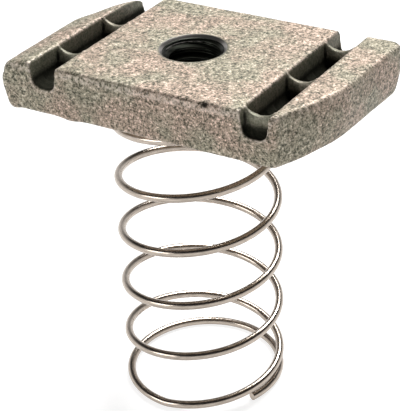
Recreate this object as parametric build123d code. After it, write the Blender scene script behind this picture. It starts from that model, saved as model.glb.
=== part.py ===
from build123d import *
from math import ceil, cos, floor, radians, tan
import os

# Channel nut standing on its spring, in millimetres, +Z up.
# The origin is under the casting's middle, at the spring's foot; X runs along the nut.

# --- Nut casting ---
nut_thickness = 5.2
nut_width = 21.0
end_reach = 17.25          # casting's middle to each end, where the swept corner starts
end_lean = 2.2             # degrees that the square half of an end runs outwards
sweep_start = 2.0          # how far past the middle line a swept corner starts
sweep_back = 2.9           # how far the swept corner has drawn in at the long side
sweep_bow = 0.25           # rise of its arc
square_corner_round = 1.2
swept_corner_round = 1.0
sweep_blend = 12.0         # blend between the straight end and the swept corner
hole_shift = 0.75          # the tapped hole and the spring sit this far off the casting's middle
rim_round = 0.5            # worn top edge
parting_depth = 2.6        # top face to the mould's parting line
draft = 5.0                # degrees of draft below the parting line
foot_round = 0.4           # bottom edge

# --- Grooves that take the channel's lips ---
groove_spacing = 24.45
groove_mouth = 3.2
groove_root = 2.5
groove_depth = 2.75
groove_root_round = 1.05
groove_lip_round = 0.35

# --- Teeth across the grooves: tall ones, with low ones between them ---
tooth_pitch = 4.12
tooth_crest = 0.22
tooth_base = 1.7
tooth_top = 0.05           # top face to where a tooth meets the groove's walls
tall_sag = 0.75            # top face to the lowest point of a tall tooth's crest
low_sag = 2.6              # the same on a low tooth, which leaves a cusp on each wall
left_row_at = -5.32        # a tall tooth of the left groove
right_row_at = -1.0        # a tall tooth of the right groove
tooth_end_land = 0.8       # no tooth comes nearer to the groove's open ends

# --- Threaded hole, M6, left at its tapping size ---
tap_diameter = 5.0
countersink_diameter = 7.0
countersink_angle = 90.0

# --- Spring and the round boss that it grips ---
wire_diameter = 0.9
coil_diameter = 17.0       # to the middle of the wire
active_pitch = 6.5
active_turns = 5.17
top_closed_turns = 0.85
foot_closed_turns = 0.81
top_end_angle = -82.8      # where the top end of the wire lies about the axis
seat_gap = 0.02            # top coil to the nut's underside
boss_clearance = 0.06      # coil's inside to the boss
boss_height = 0.8
boss_edge = 0.15
spans_per_turn = 8         # arcs that make one turn of the wire

# --- Casting, with its top face at Z 0: straight above the parting line, drafted below it ---
half_width = nut_width / 2
lean_run = (half_width + sweep_start) * tan(radians(end_lean))
sweep_foot = (end_reach - sweep_back, -half_width)
sweep_head = (end_reach, -sweep_start)
square_corner = (end_reach + lean_run, half_width)
next_sweep_foot = (-sweep_foot[0], half_width)
half_outline = [
    SagittaArc(sweep_foot, sweep_head, -sweep_bow),
    Line(sweep_head, square_corner),
    Line(square_corner, next_sweep_foot),
]
outline = make_face(half_outline + [edge.rotate(Axis.Z, 180) for edge in half_outline])


def corners(face, at):
    """The face's vertices at a point of the half outline and at its half-turn twin."""
    return [
        vertex
        for vertex in face.vertices()
        if abs(abs(vertex.X) - abs(at[0])) < 0.01 and abs(abs(vertex.Y) - abs(at[1])) < 0.01
    ]


outline = fillet(corners(outline, square_corner), square_corner_round)
outline = fillet(corners(outline, sweep_foot), swept_corner_round)
outline = fillet(corners(outline, sweep_head), sweep_blend)

upper = extrude(Pos(0, 0, -parting_depth) * outline, parting_depth)
lower = extrude(Pos(0, 0, -parting_depth) * outline, nut_thickness - parting_depth, dir=(0, 0, -1), taper=draft)
casting = upper + lower
casting = fillet(casting.edges().group_by(Axis.Z)[-1], rim_round)
casting = fillet(casting.edges().group_by(Axis.Z)[0], foot_round)

# --- One groove's section, with rounded root and lips, run the full width ---
flare = groove_lip_round * 1.5
over = rim_round
section = make_face(Plane.XZ * Polyline(
    (-groove_mouth / 2 - flare, over),
    (-groove_mouth / 2 - flare, 0),
    (-groove_mouth / 2, 0),
    (-groove_root / 2, -groove_depth),
    (groove_root / 2, -groove_depth),
    (groove_mouth / 2, 0),
    (groove_mouth / 2 + flare, 0),
    (groove_mouth / 2 + flare, over),
    close=True,
))
section = fillet([v for v in section.vertices() if abs(v.Z + groove_depth) < 0.01], groove_root_round)
section = fillet(
    [v for v in section.vertices() if abs(v.Z) < 0.01 and abs(abs(v.X) - groove_mouth / 2) < 0.01],
    groove_lip_round,
)
groove = extrude(section, nut_width, both=True)


def tooth(sag):
    """A wedge across the groove whose crest hangs between the walls."""
    root = groove_depth + groove_lip_round
    wedge = extrude(make_face(Plane.YZ * Polyline(
        (-tooth_crest / 2, -tooth_top),
        (tooth_crest / 2, -tooth_top),
        (tooth_base / 2, -root),
        (-tooth_base / 2, -root),
        close=True,
    )), groove_mouth / 2 + groove_lip_round, both=True)
    rise = sag - tooth_top
    scoop_radius = ((groove_mouth / 2) ** 2 + rise**2) / (2 * rise)
    scoop = Cylinder(scoop_radius, 2 * tooth_base, rotation=(90, 0, 0))
    return wedge - Pos(0, 0, scoop_radius - sag) * scoop


tall_tooth = tooth(tall_sag)
low_tooth = tooth(low_sag)
tooth_reach = half_width - tooth_end_land
for groove_at, row_at in ((-groove_spacing / 2, left_row_at), (groove_spacing / 2, right_row_at)):
    casting -= Pos(groove_at, 0, 0) * groove
    first = ceil((-tooth_reach - row_at) / tooth_pitch)
    last = floor((tooth_reach - row_at) / tooth_pitch)
    for step in range(first, last + 1):
        shape = tall_tooth if step % 2 == 0 else low_tooth
        casting += Pos(groove_at, row_at + step * tooth_pitch, 0) * shape

# --- Boss under the nut, and the hole through both ---
underside = -nut_thickness
boss_radius = (coil_diameter - wire_diameter) / 2 - boss_clearance
boss = Pos(0, 0, underside - boss_height / 2) * Cylinder(boss_radius, boss_height)
boss = chamfer(boss.edges().group_by(Axis.Z)[0], boss_edge)
nut = Pos(hole_shift, 0, 0) * casting + boss

tap_radius = tap_diameter / 2
sink_radius = countersink_diameter / 2
sink_depth = (sink_radius - tap_radius) / tan(radians(countersink_angle / 2))
bore_foot = underside - boss_height
bore_length = nut_thickness + boss_height
nut -= Pos(0, 0, -bore_length / 2) * Cylinder(tap_radius, bore_length + 1)
nut -= Pos(0, 0, -sink_depth / 2) * Cone(tap_radius, sink_radius, sink_depth)
nut -= Pos(0, 0, bore_foot + sink_depth / 2) * Cone(sink_radius, tap_radius, sink_depth)

# --- Spring: right-hand wire, its end turns closed flat, made of tangent arcs ---
coil_radius = coil_diameter / 2
total_turns = top_closed_turns + active_turns + foot_closed_turns
spans = round(total_turns * spans_per_turn)
span_angle = 360 * total_turns / spans
knee_radius = coil_radius / cos(radians(span_angle / 2))
wire_top = underside - seat_gap - wire_diameter / 2
free_height = active_pitch * active_turns + wire_diameter


def wire_point(turn, radius):
    """A point of the wire's route, counted in turns from its top end."""
    drop = active_pitch * min(max(turn - top_closed_turns, 0), active_turns)
    at = Vector(radius, 0, wire_top - drop)
    return at.rotate(Axis.Z, top_end_angle - 360 * turn)


knees = [wire_point((index + 0.5) * span_angle / 360, knee_radius) for index in range(spans)]
route = [wire_point(0, coil_radius), *knees, wire_point(total_turns, coil_radius)]
path = FilletPolyline(*route, radius=0.96 * coil_radius)
spring = sweep(Plane(origin=path @ 0, z_dir=path % 0) * Circle(wire_diameter / 2), path=path)

# --- Stand both pieces on the spring's foot, with the casting's middle on the origin ---
stand = Pos(-hole_shift, 0, free_height + seat_gap + nut_thickness)
os.makedirs("parts", exist_ok=True)
export_step(stand * nut, "parts/nut_body.step")
export_step(stand * spring, "parts/coil_spring.step")
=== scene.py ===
import math

import bmesh
import bpy
import numpy as np
from mathutils import Matrix, Vector


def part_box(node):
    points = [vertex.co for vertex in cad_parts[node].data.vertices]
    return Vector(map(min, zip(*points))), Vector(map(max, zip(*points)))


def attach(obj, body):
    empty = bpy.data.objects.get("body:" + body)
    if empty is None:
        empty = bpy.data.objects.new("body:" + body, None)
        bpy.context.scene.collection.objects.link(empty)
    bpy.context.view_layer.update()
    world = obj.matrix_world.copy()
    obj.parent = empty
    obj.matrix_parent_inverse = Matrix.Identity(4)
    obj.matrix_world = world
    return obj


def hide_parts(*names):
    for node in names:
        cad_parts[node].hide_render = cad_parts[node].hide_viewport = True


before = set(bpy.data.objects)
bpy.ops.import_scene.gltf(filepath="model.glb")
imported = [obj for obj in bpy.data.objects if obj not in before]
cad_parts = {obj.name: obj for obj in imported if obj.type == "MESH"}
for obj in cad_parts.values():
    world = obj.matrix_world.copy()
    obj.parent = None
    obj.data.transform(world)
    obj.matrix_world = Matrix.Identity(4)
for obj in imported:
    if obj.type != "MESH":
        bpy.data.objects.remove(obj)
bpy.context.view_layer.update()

# ---------------------------------------------------------------------------------------------
# Nut casting: one block of cast steel with swept corners and two toothed grooves in its top.
# It is poured in a sand mould, tumbled, and left uncoated, so its skin is granular and its
# edges are worn. The solid gives the form; this copy its skin, wear, painted shade and fuller ends.
# ---------------------------------------------------------------------------------------------
MM = 0.001
plate_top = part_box("nut_body")[1][2]
boss_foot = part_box("nut_body")[0][2]
hole_x = -0.75 * MM
tapping_radius = 2.5 * MM
opened_radius = 3.06 * MM
sink_radius = 3.5 * MM
groove_x = 12.225 * MM
skin_voxel = 0.12 * MM
skin_triangles = 190000
underside_drop = 0.35 * MM


class Flow:
    """One output of a node tree, so that sums and blends of it read as plain expressions."""

    def __init__(self, tree, socket=None):
        self.tree = tree
        self.socket = socket

    def node(self, kind, sockets=(), output=0, **settings):
        """Adds a node, gives it its settings and then its sockets, and returns one output."""
        made = self.tree.nodes.new(kind)
        stops = settings.pop("stops", None)
        for name, value in settings.items():
            setattr(made, name, value)
        if stops:
            ramp = made.color_ramp
            while len(ramp.elements) < len(stops):
                ramp.elements.new(1.0)
            for element, (place, shade) in zip(ramp.elements, stops):
                element.position = place
                element.color = (*shade, 1.0) if isinstance(shade, tuple) else (shade,) * 3 + (1.0,)
        for key, value in dict(sockets).items():
            if isinstance(value, Flow):
                self.tree.links.new(value.socket, made.inputs[key])
            else:
                made.inputs[key].default_value = value
        return Flow(self.tree, made.outputs[output] if made.outputs else None)

    def maths(self, operation, first, second=0.0, third=0.0):
        return self.node("ShaderNodeMath", {0: first, 1: second, 2: third}, operation=operation)

    def __add__(self, other):
        return self.maths("ADD", self, other)

    __radd__ = __add__

    def __sub__(self, other):
        return self.maths("SUBTRACT", self, other)

    def __rsub__(self, other):
        return self.maths("SUBTRACT", other, self)

    def __mul__(self, other):
        return self.maths("MULTIPLY", self, other)

    __rmul__ = __mul__

    def __truediv__(self, other):
        return self.maths("DIVIDE", self, other)

    def between(self, low, high):
        """A smooth rise from 0 at low to 1 at high."""
        return self.node(
            "ShaderNodeMapRange",
            {"Value": self, "From Min": low, "From Max": high},
            interpolation_type="SMOOTHSTEP",
        )

    def blend(self, first, second):
        """The colour first where this is 0, and the colour second where it is 1."""
        return self.node("ShaderNodeMix", {0: self, 6: first, 7: second}, output=2, data_type="RGBA")


def grow(name, tree, sizes, start=None):
    """Runs a geometry tree once with the given sizes, and keeps its result as a plain mesh."""
    piece = bpy.data.objects.new(name, start or bpy.data.meshes.new(name))
    bpy.context.collection.objects.link(piece)
    made = piece.modifiers.new("made", "NODES")
    made.node_group = tree
    for item in tree.interface.items_tree:
        if item.in_out == "INPUT" and item.name in sizes:
            made[item.identifier] = sizes[item.name]
    mesh = bpy.data.meshes.new_from_object(piece.evaluated_get(bpy.context.evaluated_depsgraph_get()))
    piece.modifiers.remove(made)
    piece.data = mesh
    mesh.name = name
    return piece


def settle(piece):
    """Applies a piece's modifiers, so that it is a plain mesh."""
    mesh = bpy.data.meshes.new_from_object(piece.evaluated_get(bpy.context.evaluated_depsgraph_get()))
    piece.modifiers.clear()
    piece.data = mesh


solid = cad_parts["nut_body"]
blank = bmesh.new()
blank.from_mesh(solid.data)
bmesh.ops.remove_doubles(blank, verts=blank.verts, dist=0.001 * MM)
for vert in blank.verts:
    away = Vector((vert.co.x - hole_x, vert.co.y))
    if abs(away.length - tapping_radius) < 0.02 * MM:
        lift = opened_radius - tapping_radius
        near_top = vert.co.z > (plate_top + boss_foot) / 2
        away *= opened_radius / away.length
        vert.co = (hole_x + away.x, away.y, vert.co.z + (lift if near_top else -lift))
rough_mesh = bpy.data.meshes.new("rough_cast")
blank.to_mesh(rough_mesh)
blank.free()
rough_cast = bpy.data.objects.new("rough_cast", rough_mesh)
bpy.context.collection.objects.link(rough_cast)
remesh = rough_cast.modifiers.new("sand_grid", "REMESH")
remesh.mode = "VOXEL"
remesh.voxel_size = skin_voxel
tumble = rough_cast.modifiers.new("tumbled", "SMOOTH")
tumble.factor = 0.5
tumble.iterations = 2
settle(rough_cast)


def smooth_step(low, high, value):
    """0 below low, 1 above high, and a smooth rise between them."""
    share = np.clip((value - low) / (high - low), 0.0, 1.0)
    return share * share * (3.0 - 2.0 * share)


def near_run(points, run):
    """The distance from each point to the nearest place on a run of straight lines."""
    best = np.full(len(points), np.inf)
    for start, end in zip(run[:-1], run[1:]):
        along = end - start
        share = np.clip((points - start) @ along / (along @ along), 0.0, 1.0)
        best = np.minimum(best, np.linalg.norm(points - start - share[:, None] * along, axis=1))
    return best


def spread(values, ends, rounds):
    """Averages values over the mesh's edges, again and again."""
    count = np.bincount(ends.ravel(), minlength=len(values))[:, None]
    for _ in range(rounds):
        total = np.zeros_like(values)
        for column in range(values.shape[1]):
            total[:, column] = np.bincount(ends[:, 0], values[ends[:, 1], column], len(values))
            total[:, column] += np.bincount(ends[:, 1], values[ends[:, 0], column], len(values))
        values = total / count
    return values


mesh = rough_cast.data
count = len(mesh.vertices)
points = np.empty(count * 3, np.float32)
mesh.vertices.foreach_get("co", points)
points = points.reshape(-1, 3).astype(float) / MM
normals = np.empty(count * 3, np.float32)
mesh.vertices.foreach_get("normal", normals)
normals = normals.reshape(-1, 3).astype(float)
ends = np.empty(len(mesh.edges) * 2, np.int32)
mesh.edges.foreach_get("vertices", ends)
ends = ends.reshape(-1, 2)

# Each table gives depths or places, and the change of form there, in millimetres.
top = plate_top / MM
front_face, burr_x, burr_width, pit_x = -10.5, -9.4, 1.1, 6.9
depth = top - points[:, 2]
to_end = smooth_step(15.0, 17.0, np.abs(points[:, 0]))
left_swell = np.interp(depth, (0.0, 1.2, 1.9, 2.6, 3.3, 4.0, 4.6, 5.2),
                       (-0.10, 0.05, 0.25, 0.35, 0.38, 0.25, 0.10, -0.15))
right_swell = np.interp(depth, (0.0, 0.5, 1.2, 2.6, 3.5, 4.4, 5.2),
                        (0.20, 0.28, 0.30, 0.30, 0.22, 0.05, -0.15))
swell = np.where(points[:, 0] < 0.0, left_swell, right_swell) * to_end
past_sweep = np.interp(points[:, 1], (2.0, 4.8, 6.8, 8.5, 10.5), (0.0, 1.05, 1.7, 2.55, 3.6))
rounding = np.interp(past_sweep - points[:, 0], (14.4, 15.5, 16.3, 16.9, 17.3, 17.7),
                     (0.0, 0.15, 0.30, 0.50, 0.80, 1.20)) * smooth_step(2.6, 0.2, depth)
drop = underside_drop / MM * smooth_step(2.6, 4.8, depth)
burr = 0.22 * np.exp(-((points[:, 0] - burr_x) / burr_width) ** 2)
burr += 0.2 * smooth_step(-15.4, -16.6, points[:, 0])
burr *= smooth_step(-8.8, -10.2, points[:, 1]) * smooth_step(3.6, 5.0, depth)
points[:, 0] += np.sign(points[:, 0]) * swell
points[:, 2] -= rounding + drop + burr

depth = top - points[:, 2]
across = np.abs(np.abs(points[:, 0]) - groove_x / MM)
from_hole = np.hypot(points[:, 0] - hole_x / MM, points[:, 1])
in_groove = smooth_step(1.95, 1.6, across) * smooth_step(0.05, 0.35, depth)
in_groove *= smooth_step(3.1, 2.7, depth)
in_groove *= smooth_step(10.52, 10.2, np.abs(points[:, 1]))
bulge = np.einsum("ij,ij->i", points - spread(points, ends, 12), normals)
worn = smooth_step(0.02, 0.10, bulge)
# Painted shade: concave spots, the deep part of each groove, a crack line under the front top edge and a
# pit on the front face are marked to go near black, standing in for the shade that falls in them.
painted_hollow_shade = np.maximum(smooth_step(-0.02, -0.10, bulge), 0.0)
painted_hollow_shade = np.maximum(painted_hollow_shade, in_groove * smooth_step(1.1, 1.9, depth))
crack_run = np.array([(-10.0, front_face, top - 0.12), (-4.0, front_face, top - 0.06),
                      (2.0, front_face, top - 0.08), (8.6, front_face, top - 0.12)])
broken = 0.6 + 0.4 * np.sin(points[:, 0] * 5.1) * np.sin(points[:, 0] * 2.3 + 1.0)
painted_hollow_shade = np.maximum(painted_hollow_shade, smooth_step(0.24, 0.08, near_run(points, crack_run)) * broken)
pit = np.linalg.norm(points - np.array((pit_x, front_face, top - 0.15)), axis=1)
painted_hollow_shade = np.maximum(painted_hollow_shade, smooth_step(0.5, 0.25, pit))
# The upper strip of the front face, just under its top edge, takes the same lighter colour as the worn
# edges.
band = smooth_step(0.15, 0.35, depth) * smooth_step(1.1, 0.7, depth)
band *= smooth_step(-10.2, -10.4, points[:, 1])
worn = np.maximum(worn, band * 0.7)
# The groove walls and a ring round the countersink are kept smoother, and their colour is darkened:
# painted shade.
smooth_and_shaded = np.maximum(in_groove, smooth_step(3.75, 3.55, from_hole))
marks = np.stack([worn, painted_hollow_shade, smooth_and_shaded], axis=1)
layer = mesh.attributes.new("wear_and_shade_marks", "FLOAT_VECTOR", "POINT")
layer.data.foreach_set("vector", marks.astype(np.float32).ravel())
mesh.vertices.foreach_set("co", (points * MM).astype(np.float32).ravel())
mesh.update()

casting_skin = bpy.data.node_groups.new("casting_skin", "GeometryNodeTree")
for name, kind in (("Geometry", "NodeSocketGeometry"), ("Lump height", "NodeSocketFloat"),
                   ("Grain height", "NodeSocketFloat"), ("Finish", "NodeSocketMaterial")):
    casting_skin.interface.new_socket(name=name, in_out="INPUT", socket_type=kind)
casting_skin.interface.new_socket(name="Geometry", in_out="OUTPUT", socket_type="NodeSocketGeometry")
skin = Flow(casting_skin)
given = casting_skin.nodes.new("NodeGroupInput")
geometry_in, lump_height, grain_height, finish_in = [Flow(casting_skin, s) for s in given.outputs[:4]]
place = skin.node("GeometryNodeInputPosition")
outward = skin.node("GeometryNodeInputNormal")
mark = skin.node("GeometryNodeInputNamedAttribute", {"Name": "wear_and_shade_marks"}, data_type="FLOAT_VECTOR")
quiet = skin.node("ShaderNodeSeparateXYZ", {0: mark}, output=2)
lumps = skin.node(
    "ShaderNodeTexNoise", {"Vector": place, "Scale": 420.0, "Detail": 2.0, "Roughness": 0.5}
)
grain = skin.node(
    "ShaderNodeTexNoise", {"Vector": place, "Scale": 1900.0, "Detail": 2.0, "Roughness": 0.6}
)
rise = (lumps - 0.5) * lump_height * 2.0 + (grain - 0.5) * grain_height * 2.0
rise = rise * (1.0 - quiet * 0.9)
moved = skin.node(
    "GeometryNodeSetPosition",
    {"Geometry": geometry_in,
     "Offset": skin.node("ShaderNodeVectorMath", {0: outward, "Scale": rise}, operation="SCALE")},
)
real = skin.node("GeometryNodeRealizeInstances", {"Geometry": moved})
finished = skin.node("GeometryNodeSetMaterial", {"Geometry": real, "Material": finish_in})
casting_skin.links.new(finished.socket, casting_skin.nodes.new("NodeGroupOutput").inputs[0])

cast_steel = bpy.data.materials.new("cast_steel")
cast_steel.use_nodes = True
cast_steel.node_tree.nodes.clear()
steel = Flow(cast_steel.node_tree)
at = steel.node("ShaderNodeTexCoord", output=3)
mark = steel.node("ShaderNodeAttribute", output=1, attribute_name="wear_and_shade_marks")
worn_part = steel.node("ShaderNodeSeparateXYZ", {0: mark})
painted_shade_part = steel.node("ShaderNodeSeparateXYZ", {0: mark}, output=1)
smooth_and_shaded_part = steel.node("ShaderNodeSeparateXYZ", {0: mark}, output=2)
grit = steel.node(
    "ShaderNodeTexNoise", {"Vector": at, "Scale": 5200.0, "Detail": 3.0, "Roughness": 0.7}
)
speck = steel.node(
    "ShaderNodeTexNoise", {"Vector": at, "Scale": 2300.0, "Detail": 4.0, "Roughness": 0.7}
)
blotch = steel.node(
    "ShaderNodeTexNoise", {"Vector": at, "Scale": 170.0, "Detail": 3.0, "Roughness": 0.55}
)
tone = grit * 0.55 + speck * 0.45
shade = tone.between(0.41, 0.53).blend((0.050, 0.048, 0.030, 1.0), (0.38, 0.32, 0.255, 1.0))
shade = tone.between(0.53, 0.64).blend(shade, (0.90, 0.77, 0.68, 1.0))
tint = blotch.between(0.40, 0.62).blend((0.86, 0.92, 0.84, 1.0), (1.10, 1.0, 0.96, 1.0))
shade = steel.node(
    "ShaderNodeMix", {0: 1.0, 6: shade, 7: tint},
    output=2, data_type="RGBA", blend_type="MULTIPLY",
)
shade = (worn_part * speck.between(0.42, 0.55) * 0.6).blend(shade, (0.66, 0.57, 0.50, 1.0))
# Painted shade: the groove walls and the ring round the countersink are darkened.
shade = (smooth_and_shaded_part * 0.7).blend(shade, (0.15, 0.155, 0.110, 1.0))
# Painted shade: the concave spots, groove depths, crack line and pit go near black.
shade = (painted_shade_part * 0.9).blend(shade, (0.006, 0.007, 0.005, 1.0))
offset = steel.node("ShaderNodeVectorMath", {0: at, 1: (hole_x, 0.0, 0.0)}, operation="SUBTRACT")
flat = steel.node("ShaderNodeVectorMath", {0: offset, 1: (1.0, 1.0, 0.0)}, operation="MULTIPLY")
radius = steel.node("ShaderNodeVectorMath", {0: flat}, output=1, operation="LENGTH")
machined = 1.0 - radius.between(3.44 * MM, 3.56 * MM)
shade = machined.blend(shade, (0.34, 0.32, 0.30, 1.0))
height = grit * 0.5 + speck * 0.5
bumps = steel.node("ShaderNodeBump", {"Height": height * (1.0 - machined) * (1.0 - smooth_and_shaded_part * 0.7),
                                      "Strength": 0.8, "Distance": 0.12 * MM})
surface = steel.node(
    "ShaderNodeBsdfPrincipled",
    {"Base Color": shade, "Metallic": (0.40 + machined * 0.60) * (1.0 - painted_shade_part) + painted_shade_part,
     "Roughness": (0.62 - tone * 0.2 + painted_shade_part * 0.35) * (1.0 - machined) + machined * 0.3,
     "Normal": bumps},
)
steel.node("ShaderNodeOutputMaterial", {"Surface": surface})

nut = grow(
    "nut_casting", casting_skin,
    {"Lump height": 0.04 * MM, "Grain height": 0.02 * MM, "Finish": cast_steel},
    rough_cast.data,
)
bpy.data.objects.remove(rough_cast)
thin = nut.modifiers.new("thin", "DECIMATE")
thin.ratio = min(1.0, skin_triangles / sum(len(p.vertices) - 2 for p in nut.data.polygons))
settle(nut)
nut.data.polygons.foreach_set("use_smooth", [True] * len(nut.data.polygons))
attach(nut, "root")
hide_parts("nut_body")

# ---------------------------------------------------------------------------------------------
# Tapped thread: the M6 turns in the nut's hole, cut by a tap after casting. They are one lining
# of the opened bore, with their crests at the tapping size, and fade into both countersinks.
# ---------------------------------------------------------------------------------------------
thread_sizes = {
    "Crest radius": tapping_radius,
    "Root radius": 3.0 * MM,
    "Pitch": 1.0 * MM,
    "Sink radius": sink_radius,
    "Top": plate_top,
    "Foot": boss_foot - underside_drop,
    "Axis offset": hole_x,
}
tapped_steel_shaded = bpy.data.materials.new("tapped_steel_shaded")
tapped_steel_shaded.use_nodes = True
tapped_steel_shaded.node_tree.nodes.clear()
tapped = Flow(tapped_steel_shaded.node_tree)
# The thread's colour is near black: painted shade for the dark inside of the hole.
at = tapped.node("ShaderNodeTexCoord", output=3)
rings = tapped.node("ShaderNodeMapping", {"Vector": at, "Scale": (300.0, 300.0, 9000.0)})
scores = tapped.node("ShaderNodeTexNoise", {"Vector": rings, "Scale": 1.0, "Detail": 2.0})
surface = tapped.node(
    "ShaderNodeBsdfPrincipled",
    {"Base Color": scores.between(0.3, 0.7).blend(
        (0.012, 0.014, 0.011, 1.0), (0.055, 0.058, 0.046, 1.0)),
     "Metallic": 1.0, "Roughness": 0.22 + scores * 0.15,
     "Normal": tapped.node(
         "ShaderNodeBump", {"Height": scores, "Strength": 0.3, "Distance": 0.02 * MM})},
)
tapped.node("ShaderNodeOutputMaterial", {"Surface": surface})

thread_tree = bpy.data.node_groups.new("tapped_thread", "GeometryNodeTree")
for name in thread_sizes:
    thread_tree.interface.new_socket(name=name, in_out="INPUT", socket_type="NodeSocketFloat")
for name in ("Round", "Down"):
    thread_tree.interface.new_socket(name=name, in_out="INPUT", socket_type="NodeSocketInt")
thread_tree.interface.new_socket(name="Finish", in_out="INPUT", socket_type="NodeSocketMaterial")
thread_tree.interface.new_socket(name="Geometry", in_out="OUTPUT", socket_type="NodeSocketGeometry")
turned = Flow(thread_tree)
given = thread_tree.nodes.new("NodeGroupInput")
size = {s.name: Flow(thread_tree, s) for s in given.outputs if s.name}
sheet = turned.node(
    "GeometryNodeMeshGrid",
    {"Size X": 1.0, "Size Y": 1.0, "Vertices X": size["Round"], "Vertices Y": size["Down"]},
)
spot = turned.node("GeometryNodeInputPosition")
spot_x = turned.node("ShaderNodeSeparateXYZ", {0: spot})
spot_y = turned.node("ShaderNodeSeparateXYZ", {0: spot}, output=1)
angle = (spot_x + 0.5) * math.tau
down = 0.5 - spot_y
inner_top = size["Sink radius"] - size["Root radius"] - 0.22 * MM
length = size["Top"] - size["Foot"] - inner_top * 2.0
deep = inner_top + down * length
phase = turned.maths("FRACT", deep / size["Pitch"] + angle / math.tau)
flank = turned.maths("ABSOLUTE", phase * 2.0 - 1.0)
flank = turned.maths("MINIMUM", turned.maths("MAXIMUM", (flank - 0.14) / 0.70, 0.0), 1.0)
cut = size["Crest radius"] + flank * (size["Root radius"] - size["Crest radius"])
edge = turned.maths("MINIMUM", deep, size["Top"] - size["Foot"] - deep)
radius = turned.maths("MAXIMUM", cut, size["Sink radius"] - edge - 0.03 * MM)
lie = turned.node(
    "ShaderNodeCombineXYZ",
    {"X": size["Axis offset"] + radius * turned.maths("COSINE", angle),
     "Y": radius * turned.maths("SINE", angle), "Z": size["Top"] - deep},
)
moved = turned.node("GeometryNodeSetPosition", {"Geometry": sheet, "Position": lie})
closed = turned.node("GeometryNodeMergeByDistance", {"Geometry": moved, "Distance": 0.001 * MM})
real = turned.node("GeometryNodeRealizeInstances", {"Geometry": closed})
finished = turned.node("GeometryNodeSetMaterial", {"Geometry": real, "Material": size["Finish"]})
thread_tree.links.new(finished.socket, thread_tree.nodes.new("NodeGroupOutput").inputs[0])
thread = grow(
    "tapped_thread", thread_tree,
    {**thread_sizes, "Round": 97, "Down": 113, "Finish": tapped_steel_shaded},
)
lining = bmesh.new()
lining.from_mesh(thread.data)
rims = [edge for edge in lining.edges if edge.is_boundary]
bmesh.ops.bridge_loops(lining, edges=rims)
bmesh.ops.recalc_face_normals(lining, faces=lining.faces)
lining.to_mesh(thread.data)
lining.free()
thread.data.polygons.foreach_set("use_smooth", [True] * len(thread.data.polygons))
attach(thread, "root")

# ---------------------------------------------------------------------------------------------
# Coil spring: one length of bright drawn steel wire, wound right-handed with its end turns
# closed, and pressed over the boss under the nut. Its ends are sheared, not ground.
# ---------------------------------------------------------------------------------------------
spring_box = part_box("coil_spring")
wire_diameter = 0.9 * MM
spring_sizes = {
    "Wire radius": wire_diameter / 2,
    "Coil radius": 8.5 * MM,
    "Pitch": 6.52 * MM,
    "Active turns": 5.10,
    "Top closed turns": 0.92,
    "Foot closed turns": 0.81,
    "Top end angle": math.radians(-82.8),
    "Top of wire": spring_box[1][2] - underside_drop - wire_diameter / 2,
    "Axis offset": hole_x,
    "Lean X": -0.34 * MM,
    "Lean Y": -0.21 * MM,
}

bright_wire = bpy.data.materials.new("bright_wire")
bright_wire.use_nodes = True
bright_wire.node_tree.nodes.clear()
wire = Flow(bright_wire.node_tree)
lay = wire.node("ShaderNodeAttribute", output=1, attribute_name="wire_lay")
drawn = wire.node("ShaderNodeMapping", {"Vector": lay, "Scale": (6.0, 6.0, 60.0)})
scores = wire.node("ShaderNodeTexNoise", {"Vector": drawn, "Scale": 1.0, "Detail": 2.0})
surface = wire.node(
    "ShaderNodeBsdfPrincipled",
    {"Base Color": scores.between(0.3, 0.7).blend((0.36, 0.31, 0.26, 1.0), (0.52, 0.45, 0.39, 1.0)),
     "Metallic": 1.0, "Roughness": 0.16 + scores * 0.12,
     "Normal": wire.node("ShaderNodeBump", {"Height": scores, "Strength": 0.15, "Distance": 0.01 * MM})},
)
wire.node("ShaderNodeOutputMaterial", {"Surface": surface})

spring_tree = bpy.data.node_groups.new("wound_spring", "GeometryNodeTree")
for name in spring_sizes:
    spring_tree.interface.new_socket(name=name, in_out="INPUT", socket_type="NodeSocketFloat")
for name in ("Steps", "Sides"):
    spring_tree.interface.new_socket(name=name, in_out="INPUT", socket_type="NodeSocketInt")
spring_tree.interface.new_socket(name="Finish", in_out="INPUT", socket_type="NodeSocketMaterial")
spring_tree.interface.new_socket(name="Geometry", in_out="OUTPUT", socket_type="NodeSocketGeometry")
wound = Flow(spring_tree)
given = spring_tree.nodes.new("NodeGroupInput")
size = {s.name: Flow(spring_tree, s) for s in given.outputs if s.name}
straight = wound.node("GeometryNodeCurvePrimitiveLine")
stepped = wound.node("GeometryNodeResampleCurve", {"Curve": straight, "Count": size["Steps"]})
share = wound.node("GeometryNodeSplineParameter")
turn = share * (size["Top closed turns"] + size["Active turns"] + size["Foot closed turns"])
past_top = wound.maths("MAXIMUM", turn - size["Top closed turns"], 0.0)
run_out = wound.maths("MINIMUM", past_top, size["Active turns"])
angle = size["Top end angle"] - turn * math.tau
height = size["Top of wire"] - run_out * size["Pitch"]
lie = wound.node(
    "ShaderNodeCombineXYZ",
    {"X": (size["Axis offset"] + size["Coil radius"] * wound.maths("COSINE", angle)
           + share * size["Lean X"]),
     "Y": size["Coil radius"] * wound.maths("SINE", angle) + share * size["Lean Y"], "Z": height},
)
centre_line = wound.node("GeometryNodeSetPosition", {"Geometry": stepped, "Position": lie})
ring = wound.node(
    "GeometryNodeCurvePrimitiveCircle", {"Resolution": size["Sides"], "Radius": size["Wire radius"]}
)
marked_line = spring_tree.nodes.new("GeometryNodeCaptureAttribute")
marked_line.domain = "POINT"
marked_line.capture_items.new("FLOAT", "Turn")
spring_tree.links.new(centre_line.socket, marked_line.inputs["Geometry"])
spring_tree.links.new(turn.socket, marked_line.inputs["Turn"])
marked_ring = spring_tree.nodes.new("GeometryNodeCaptureAttribute")
marked_ring.domain = "POINT"
marked_ring.capture_items.new("VECTOR", "Section")
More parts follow.
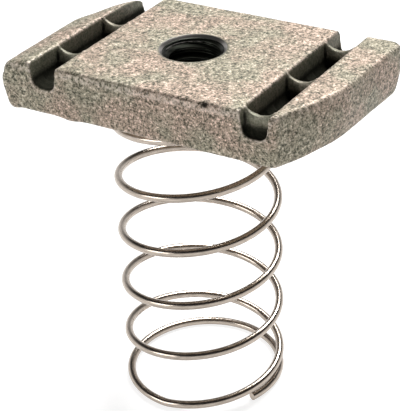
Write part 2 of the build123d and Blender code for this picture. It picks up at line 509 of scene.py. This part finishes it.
spring_tree.links.new(ring.socket, marked_ring.inputs["Geometry"])
spring_tree.links.new(wound.node("GeometryNodeInputPosition").socket, marked_ring.inputs["Section"])
tube = wound.node(
    "GeometryNodeCurveToMesh",
    {"Curve": Flow(spring_tree, marked_line.outputs["Geometry"]),
     "Profile Curve": Flow(spring_tree, marked_ring.outputs["Geometry"]), "Fill Caps": True},
)
section = wound.node("ShaderNodeSeparateXYZ", {0: Flow(spring_tree, marked_ring.outputs["Section"])})
section_y = Flow(spring_tree, section.socket.node.outputs[1])
lay_value = wound.node(
    "ShaderNodeCombineXYZ",
    {"X": section / size["Wire radius"], "Y": section_y / size["Wire radius"],
     "Z": Flow(spring_tree, marked_line.outputs["Turn"])},
)
kept = wound.node(
    "GeometryNodeStoreNamedAttribute", {"Geometry": tube, "Name": "wire_lay", "Value": lay_value},
    data_type="FLOAT_VECTOR", domain="POINT",
)
real = wound.node("GeometryNodeRealizeInstances", {"Geometry": kept})
finished = wound.node("GeometryNodeSetMaterial", {"Geometry": real, "Material": size["Finish"]})
spring_tree.links.new(finished.socket, spring_tree.nodes.new("NodeGroupOutput").inputs[0])

spring = grow(
    "spring_wire", spring_tree,
    {**spring_sizes, "Steps": 820, "Sides": 20, "Finish": bright_wire},
)
spring.data.polygons.foreach_set("use_smooth", [len(p.vertices) == 4 for p in spring.data.polygons])
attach(spring, "root")
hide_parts("coil_spring")

# ---------------------------------------------------------------------------------------------
# Floor, lights and camera: white paper on a table under soft lamps, in a room whose ceiling is
# dark, with the lens a hand's length away and looking down at the nut's near corner.
# ---------------------------------------------------------------------------------------------
paper = bpy.data.materials.new("white_paper")
paper.use_nodes = True
paper.node_tree.nodes.clear()
sheet = Flow(paper.node_tree)
seen = sheet.node("ShaderNodeLightPath")
for which in (3, 6):
    seen = sheet.maths("MAXIMUM", seen, sheet.node("ShaderNodeLightPath", output=which))
matt = sheet.node("ShaderNodeBsdfDiffuse", {"Color": (0.8, 0.8, 0.8, 1.0)})
dim = sheet.node("ShaderNodeBsdfDiffuse", {"Color": (0.4, 0.4, 0.4, 1.0)})
glow = sheet.node("ShaderNodeEmission", {"Color": (1.0, 1.0, 1.0, 1.0), "Strength": 0.78})
both = sheet.node("ShaderNodeAddShader", {0: dim, 1: glow})
sheet.node(
    "ShaderNodeOutputMaterial",
    {"Surface": sheet.node("ShaderNodeMixShader", {0: seen, 1: matt, 2: both})},
)
floor_mesh = bpy.data.meshes.new("floor")
half = 1.5
floor_mesh.from_pydata(
    [(-half, -half, 0), (half, -half, 0), (half, half, 0), (-half, half, 0)], [], [(0, 1, 2, 3)]
)
floor_mesh.materials.append(paper)
floor = bpy.data.objects.new("floor", floor_mesh)
bpy.context.collection.objects.link(floor)

world = bpy.data.worlds.new("studio")
world.use_nodes = True
world.node_tree.nodes.clear()
bpy.context.scene.world = world
room = Flow(world.node_tree)
seen = room.node("ShaderNodeLightPath")
gloss = room.maths("MAXIMUM", room.node("ShaderNodeLightPath", output=3),
                   room.node("ShaderNodeLightPath", output=6))
facing = room.node("ShaderNodeTexCoord")
climb = room.node("ShaderNodeSeparateXYZ", {0: facing}, output=2)
ceiling = climb.between(0.16, 0.48)
glossy_light = 1.0 - ceiling * 0.97
strength = room.maths("MAXIMUM", seen, gloss * glossy_light + (1.0 - gloss) * 0.16)
room.node(
    "ShaderNodeOutputWorld",
    {"Surface": room.node(
        "ShaderNodeBackground", {"Color": (1.0, 1.0, 1.0, 1.0), "Strength": strength})},
)


def lamp(name, place, aim, width, height, watts):
    """A soft rectangular lamp, aimed at a point."""
    light = bpy.data.lights.new(name, "AREA")
    light.shape = "RECTANGLE"
    light.size = width
    light.size_y = height
    light.energy = watts
    holder = bpy.data.objects.new(name, light)
    holder.location = place
    holder.rotation_euler = (Vector(aim) - Vector(place)).to_track_quat("-Z", "Y").to_euler()
    bpy.context.collection.objects.link(holder)


middle = (0.0, 0.0, 0.03)
lamp("key", (-0.04, 0.27, 0.50), middle, 0.25, 0.25, 4.4)
lamp("fill", (-0.30, -0.45, 0.20), middle, 0.30, 0.20, 0.85)

bearing, elevation, roll = math.radians(32.424), math.radians(30.125), math.radians(-2.808)
reach = 0.161651
target = Vector((0.0, 0.0, 0.020341))
focal_pixels, frame_width, frame_height = 1497.1, 400, 411
centre_x, centre_y = 207.34, 214.02
back = Vector((math.sin(bearing) * math.cos(elevation), -math.cos(bearing) * math.cos(elevation),
               math.sin(elevation)))
level_right = Vector((math.cos(bearing), math.sin(bearing), 0.0))
level_up = back.cross(level_right)
right = math.cos(roll) * level_right + math.sin(roll) * level_up
up = math.cos(roll) * level_up - math.sin(roll) * level_right
lens = bpy.data.cameras.new("camera")
lens.sensor_fit = "HORIZONTAL"
lens.sensor_width = 36.0
lens.lens = focal_pixels * lens.sensor_width / frame_width
lens.shift_x = (frame_width / 2 - centre_x) / frame_width
lens.shift_y = (centre_y - frame_height / 2) / frame_width
lens.clip_start = 0.01
camera = bpy.data.objects.new("camera", lens)
camera.matrix_world = Matrix(
    ((right.x, up.x, back.x, 0), (right.y, up.y, back.y, 0), (right.z, up.z, back.z, 0), (0, 0, 0, 1))
)
camera.location = target + back * reach
bpy.context.collection.objects.link(camera)
bpy.context.scene.camera = camera
bpy.context.scene.view_settings.view_transform = "Standard"
